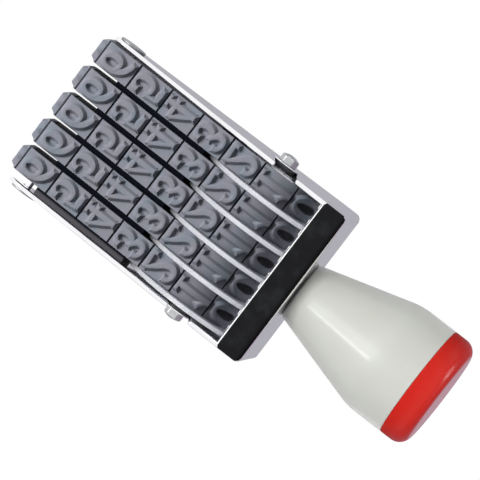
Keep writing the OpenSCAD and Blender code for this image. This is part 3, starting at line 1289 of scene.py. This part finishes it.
@dataclass
class AnvilSet:
    """The comb-shaped block inside the bands, with the pin and rivets that hold it."""

    shop: Workshop
    block_edge: float = 0.3
    pin_edge: float = 0.2
    rivet_edge: float = 0.25
    plate_inside: float = 24.1

    def build(self) -> None:
        """Makes the block, its cross pin and the rivets in the plates' ends."""
        fitting = self.shop.fitting
        fitting("anvil_block_comb", "anvil_block", BLACK, Slot.BLOCK, self.block_edge)
        fitting("anvil_pin_rod", "anvil_pin", STEEL, Slot.STEEL, self.pin_edge)
        rivets = fitting(
            "tip_rivet_pair", "tip_rivets", DULL_STEEL, Slot.STEEL, self.rivet_edge, segments=3
        )
        self.shop.repaint(rivets, NICKEL, self._inside)

    def _inside(self, face: bpy.types.MeshPolygon) -> bool:
        """Whether a face of a rivet lies between the plates."""
        return abs(face.center.x) < self.plate_inside * MM


@dataclass
class SheetFrame:
    """The folded and plated sheet that carries everything."""

    shop: Workshop
    edge: float = 0.55
    half_width: float = 25.625
    half_depth: float = 18.3
    flange_foot: float = 78.9
    foot_lift: float = 1.2
    foot_margin: float = 0.5
    lip_depth: float = 1.0
    lip_facing: float = 0.6
    corner_reach: float = 0.05

    def build(self) -> None:
        """Makes the frame with its cut edges rounded and its front lip lacquered black."""
        mesh = self.shop.softened("frame", self.edge, segments=3, ease=self._ease)
        sheet = self.shop.piece("frame_sheet", "frame", mesh, NICKEL, Slot.SHEET)
        self.shop.repaint(sheet, LACQUER, self._on_lip)

    def _on_lip(self, face: bpy.types.MeshPolygon) -> bool:
        """Tells the lacquered faces from the bright ones.

        Args:
            face: A face of the frame.

        Returns:
            Whether it is on the front of the front lip.
        """
        middle = face.center / MM
        forward = face.normal.y < -self.lip_facing and middle.y < self.lip_depth - self.half_depth
        return forward and middle.z > self.flange_foot + self.foot_margin

    def _ease(self, mesh: bmesh.types.BMesh) -> None:
        """Lifts the outer ends of the plates' creases, so that the flange's foot can be rounded.

        Args:
            mesh: Mesh of the frame.
        """
        for x in (-self.half_width, self.half_width):
            for y in (-self.half_depth, self.half_depth):
                corner = Vector((x, y, self.flange_foot))
                for vert in mesh.verts:
                    if (vert.co / MM - corner).length < self.corner_reach:
                        vert.co.z += self.foot_lift * MM


@dataclass
class AxleSet:
    """The axle with its bushes, washers and domed nuts."""

    shop: Workshop
    rod_edge: float = 0.2
    bush_edge: float = 0.15
    washer_edge: float = 0.1
    nut_edge: float = 0.25

    def build(self) -> None:
        """Makes the axle and its fasteners."""
        fitting = self.shop.fitting
        fitting("axle_rod", "axle", STEEL, Slot.STEEL, self.rod_edge)
        fitting("axle_bush_pair", "axle_bushes", BUSH, Slot.BUSH, self.bush_edge)
        fitting("axle_washer_pair", "axle_washers", NICKEL, Slot.STEEL, self.washer_edge)
        fitting("axle_nut_pair", "axle_nuts", STEEL, Slot.STEEL, self.nut_edge, segments=3)


@dataclass
class HandleSet:
    """The bell-shaped handle with its red cap, and the screw that holds it."""

    shop: Workshop
    base: float = 87.4
    neck: float = 9.3
    neck_edge: float = 1.2
    radius: float = 17.6
    length: float = 42.0
    straight: float = 9.0
    curve: float = 20.0
    cap: float = 7.9
    cap_edge: float = 4.2
    joint_edge: float = 0.25
    screw_edge: float = 0.2
    washer_edge: float = 0.1
    cone_steps: int = 8

    def build(self) -> None:
        """Makes the handle, the cap, the screw and its washer."""
        shop = self.shop
        grip = revolved(self._grip(), self.base)
        shop.piece("handle_grip", "handle", grip, HANDLE, Slot.HANDLE)
        cap = revolved(self._cap(), self.base + self.length)
        shop.piece("handle_cap_red", "handle_cap", cap, CAP, Slot.CAP)
        shop.fitting("handle_screw_slotted", "handle_screw", STEEL, Slot.STEEL, self.screw_edge)
        shop.fitting("handle_washer_flat", "handle_washer", STEEL, Slot.STEEL, self.washer_edge)

    def _grip(self) -> list[Point]:
        """Profile of the handle from its foot to the joint with the cap.

        Returns:
            Points as (radius, height).
        """
        centre = (self.radius - self.curve, self.length - self.straight)
        dx, dy = self.neck - centre[0], self.neck_edge - centre[1]
        start = math.degrees(math.atan2(dy, dx) + math.acos(self.curve / math.hypot(dx, dy)))
        foot = arc((self.neck - self.neck_edge, self.neck_edge), self.neck_edge, -90, 0, steps=6)
        swell = arc(centre, self.curve, start, 0, steps=20)
        grow, rise = swell[0][0] - self.neck, swell[0][1] - self.neck_edge
        steps = self.cone_steps
        cone = [
            (self.neck + grow * t / steps, self.neck_edge + rise * t / steps)
            for t in range(1, steps)
        ]
        inset = self.joint_edge
        lip = arc((self.radius - inset, self.length - inset), inset, 0, 90, steps=3)
        return [(0, 0), *foot, *cone, *swell, *lip, (0, self.length)]

    def _cap(self) -> list[Point]:
        """Profile of the cap from the joint with the handle to its flat end.

        Returns:
            Points as (radius, height).
        """
        flat = self.radius - self.cap_edge
        inset = self.joint_edge
        joint = arc((self.radius - inset, inset), inset, -90, 0, steps=3)
        edge = arc((flat, self.cap - self.cap_edge), self.cap_edge, 0, 90, steps=16)
        return [(0, 0), *joint, *edge, (flat * 0.5, self.cap), (0, self.cap)]


def aimed(place: Place, towards: Sequence[float], axis: str) -> Matrix:
    """Where a card or a lamp stands.

    Args:
        place: Its middle.
        towards: Direction that it faces.
        axis: The axis of its own that points there.

    Returns:
        Its matrix.
    """
    turn = Vector(towards).to_track_quat(axis, "Y").to_matrix().to_4x4()
    return Matrix.Translation(Vector(place) * MM) @ turn


@dataclass(frozen=True)
class Card:
    """A flat piece of the stage."""

    name: str
    place: Place
    facing: Place
    wide: float
    tall: float

    def build(self, material: bpy.types.Material) -> bpy.types.Object:
        """Adds the card.

        Args:
            material: Its material.

        Returns:
            The card.
        """
        mesh = bmesh.new()
        bmesh.ops.create_grid(mesh, x_segments=1, y_segments=1, size=0.5 * MM)
        bmesh.ops.scale(mesh, vec=(self.wide, self.tall, 1), verts=mesh.verts)
        data = bpy.data.meshes.new(self.name)
        mesh.to_mesh(data)
        mesh.free()
        data.materials.append(material)
        made = bpy.data.objects.new(self.name, data)
        made.matrix_world = aimed(self.place, self.facing, "Z")
        bpy.context.scene.collection.objects.link(made)
        return made

    def mirrored(self, colour: Colour) -> None:
        """Adds the card in a flat colour that shows only in gloss.

        Args:
            colour: Its colour.
        """
        material, graph = new_material(self.name)
        glow = graph.node("ShaderNodeEmission", None, {"Color": (*colour, 1), "Strength": 1.0})
        graph.node("ShaderNodeOutputMaterial", None, {"Surface": glow})
        made = self.build(material)
        made.visible_camera = False
        made.visible_diffuse = False
        made.visible_shadow = False
        made.visible_transmission = False


@dataclass(frozen=True)
class SoftBox:
    """A square lamp that faces the stamp; gloss and dull say what it shows in and lights."""

    name: str
    place: Place
    size: float
    power: float
    gloss: bool = True
    dull: bool = True
    aim: Place = (0, 0, 70)

    def build(self) -> bpy.types.Object:
        """Adds the lamp.

        Returns:
            The lamp.
        """
        data = bpy.data.lights.new(self.name, "AREA")
        data.shape = "SQUARE"
        data.size = self.size * MM
        data.energy = self.power
        lamp = bpy.data.objects.new(self.name, data)
        lamp.matrix_world = aimed(self.place, Vector(self.aim) - Vector(self.place), "-Z")
        bpy.context.scene.collection.objects.link(lamp)
        lamp.visible_glossy = self.gloss
        lamp.visible_diffuse = self.dull
        return lamp

    def share(self, share: Share, pieces: Sequence[bpy.types.Object]) -> None:
        """Adds the lamp for some pieces alone, or for all but these.

        Args:
            share: Whether it lights the pieces alone or leaves them out.
            pieces: The pieces.
        """
        group = bpy.data.collections.new(f"{self.name}_pieces")
        for piece in pieces:
            group.objects.link(piece)
        for entry in group.collection_objects:
            entry.light_linking.link_state = share.value
        self.build().light_linking.receiver_collection = group


@dataclass
class Studio:
    """Camera, lamps, floor and the cards that the plated sheet mirrors."""

    azimuth: float = -4.96
    elevation: float = 5.42
    roll: float = 127.711
    scale: float = 3.5378
    centre: Point = (249.487, 251.019)
    pivot: Place = (0.0, 0.0, 69.0)
    distance: float = 2000.0
    frame_size: float = 480.0
    sensor: float = 36.0
    soft_light: float = 0.07
    dim_ceiling: float = 0.15
    ceiling_height: float = 0.6
    floor_z: float = -0.05
    floor_size: float = 6000.0
    paper: float = 0.82
    table_glow: float = 1.04
    white_table: float = 0.96
    bright_table: float = 0.4

    def build(self) -> None:
        """Sets up the studio, apart from its lamps."""
        bpy.context.scene.view_settings.view_transform = "Standard"
        self.camera()
        self.world()
        self.floor()
        self.cards()

    def axes(self) -> tuple[Vector, Vector, Vector]:
        """Directions of the picture.

        Returns:
            Its right, its up and the direction to the camera.
        """
        az, el, roll = (math.radians(v) for v in (self.azimuth, self.elevation, self.roll))
        back = Vector((math.sin(az) * math.cos(el), -math.cos(az) * math.cos(el), math.sin(el)))
        across = Vector((math.cos(az), math.sin(az), 0))
        rise = across.cross(-back)
        right = across * math.cos(roll) + rise * math.sin(roll)
        up = rise * math.cos(roll) - across * math.sin(roll)
        return right, up, back

    def camera(self) -> None:
        """Sets the camera at the photograph's place."""
        right, up, back = self.axes()
        shift_x = (self.centre[0] - self.frame_size / 2) / self.scale
        shift_y = (self.centre[1] - self.frame_size / 2) / self.scale
        aim = Vector(self.pivot) - right * shift_x + up * shift_y
        place = (aim + back * self.distance) * MM
        turn = Matrix((right, up, back)).transposed().to_4x4()
        data = bpy.data.cameras.new("photo_camera")
        data.sensor_width = self.sensor
        data.lens = self.scale * self.sensor / self.frame_size * self.distance
        camera = bpy.data.objects.new("photo_camera", data)
        camera.matrix_world = Matrix.Translation(place) @ turn
        bpy.context.scene.collection.objects.link(camera)
        bpy.context.scene.camera = camera

    def world(self) -> None:
        """White all round to the eye and in the metal, and soft light for the rest."""
        world = bpy.data.worlds.new("studio")
        bpy.context.scene.world = world
        world.use_nodes = True
        graph = Graph(world.node_tree)
        sky = graph.node("ShaderNodeTexCoord")
        rise = graph.node("ShaderNodeSeparateXYZ", None, {0: sky}, output="Z")
        ceiling = rise.smooth(0.0, self.ceiling_height)
        glow = (1 - ceiling * (1 - self.dim_ceiling)) * self.soft_light
        light, white = (
            graph.node("ShaderNodeBackground", None, {"Color": (1, 1, 1, 1), "Strength": strength})
            for strength in (glow, 1.0)
        )
        seen = graph.node("ShaderNodeMixShader", None, {0: self._seen(graph), 1: light, 2: white})
        graph.node("ShaderNodeOutputWorld", None, {"Surface": seen})

    @staticmethod
    def _seen(graph: Graph) -> Wire:
        """Tells what the camera sees from what only lights the stamp.

        Args:
            graph: Nodes of the world or of the floor.

        Returns:
            One for rays from the camera, from gloss that it sees and through glass.
        """
        camera = graph.node("ShaderNodeLightPath", output="Is Camera Ray")
        mirrored = camera.sibling("Is Glossy Ray") * (camera.sibling("Diffuse Depth") < 0.5)
        glass = camera.sibling("Is Transmission Ray")
        return graph.math("MAXIMUM", graph.math("MAXIMUM", camera, mirrored), glass)

    def floor(self) -> None:
        """A plain white floor that keeps a faint shadow of the stamp."""
        material, graph = new_material("white_floor")
        grey = (self.paper, self.paper, self.paper, 1)
        glow = {"Color": (1, 1, 1, 1), "Strength": self.table_glow}
        paper = graph.node("ShaderNodeBsdfDiffuse", None, {"Color": grey})
        white = graph.node("ShaderNodeEmission", None, glow)
        seen = self._seen(graph)
        share = seen * self.white_table + (1 - seen) * self.bright_table
        mixed = graph.node("ShaderNodeMixShader", None, {0: share, 1: paper, 2: white})
        graph.node("ShaderNodeOutputMaterial", None, {"Surface": mixed})
        size = self.floor_size
        made = Card("floor", (0, 0, self.floor_z), (0, 0, 1), size, size).build(material)
        made.visible_shadow = False

    @staticmethod
    def cards() -> None:
        """Grey cards above and behind, which only the gloss sees."""
        Card("roof_card", (0, -45, 330), (0, 0, -1), 600, 210).mirrored((0.4, 0.39, 0.45))
        Card("back_card", (0, 52, 57), (0, -1, 0), 420, 116).mirrored((0.435, 0.43, 0.47))
        Card("cap_card", (0, 52, 222), (0, -1, 0), 420, 214).mirrored((0.46, 0.4, 0.47))

    @staticmethod
    def lamps(
        grip: bpy.types.Object, cap: bpy.types.Object, wheels: Sequence[bpy.types.Object]
    ) -> None:
        """Soft boxes around the stamp; the low key box is for the digits and the frame.

        Args:
            grip: The handle, which the frame would shade from the key box.
            cap: The handle's cap, whose outline the back boxes would wash out.
            wheels: The thumb wheels, which the key box would light unevenly.
        """
        handle = [grip, cap]
        only, without = Share.ONLY, Share.WITHOUT
        SoftBox("key_box", (20, -824, -967), 600, 25.0).share(without, [*handle, *wheels])
        SoftBox("wheel_box", (0, -1000, 80), 600, 8.0).share(only, wheels)
        SoftBox("grip_box", (110, -1100, -200), 500, 12.4, gloss=False).share(only, handle)
        SoftBox("cap_box", (0, -60, 900), 400, 4.0, gloss=False).share(only, handle)
        SoftBox("cap_spot", (-430, -20, 880), 320, 11.0, dull=False).share(only, [cap])
        SoftBox("grip_spot", (330, -860, -510), 120, 1.4, dull=False).share(only, handle)
        SoftBox("grip_sheen", (80, -905, -525), 420, 6.0, dull=False).share(only, handle)
        SoftBox("side_box", (-1170, -72, 322), 600, 2.4, gloss=False).build()
        SoftBox("left_back_box", (-700, 1000, 250), 600, 7.0).share(without, [cap])
        SoftBox("right_back_box", (800, 900, 250), 600, 7.0).share(without, [cap])


def corners(box: Iterable[Iterable[float]]) -> list[list[float]]:
    """A box as plain lists of numbers."""
    return [[float(value) for value in corner] for corner in box]


def main() -> None:
    """Builds the stamp's looks in order."""
    logging.basicConfig(level=logging.INFO, format="%(name)s: %(message)s")
    for leftover in list(bpy.data.objects):
        bpy.data.objects.remove(leftover)
    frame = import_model()
    studio = Studio()
    studio.build()
    shop = Workshop(frame)
    for assembly in (SheetFrame, AnvilSet, NumberBands, BandWheels, AxleSet, HandleSet):
        assembly(shop).build()
    made = bpy.data.objects
    wheels = [made[f"band_wheel_{number}_moulding"] for number in NUMBERS]
    studio.lamps(made["handle_grip"], made["handle_cap_red"], wheels)


if __name__ == "__main__":
    main()
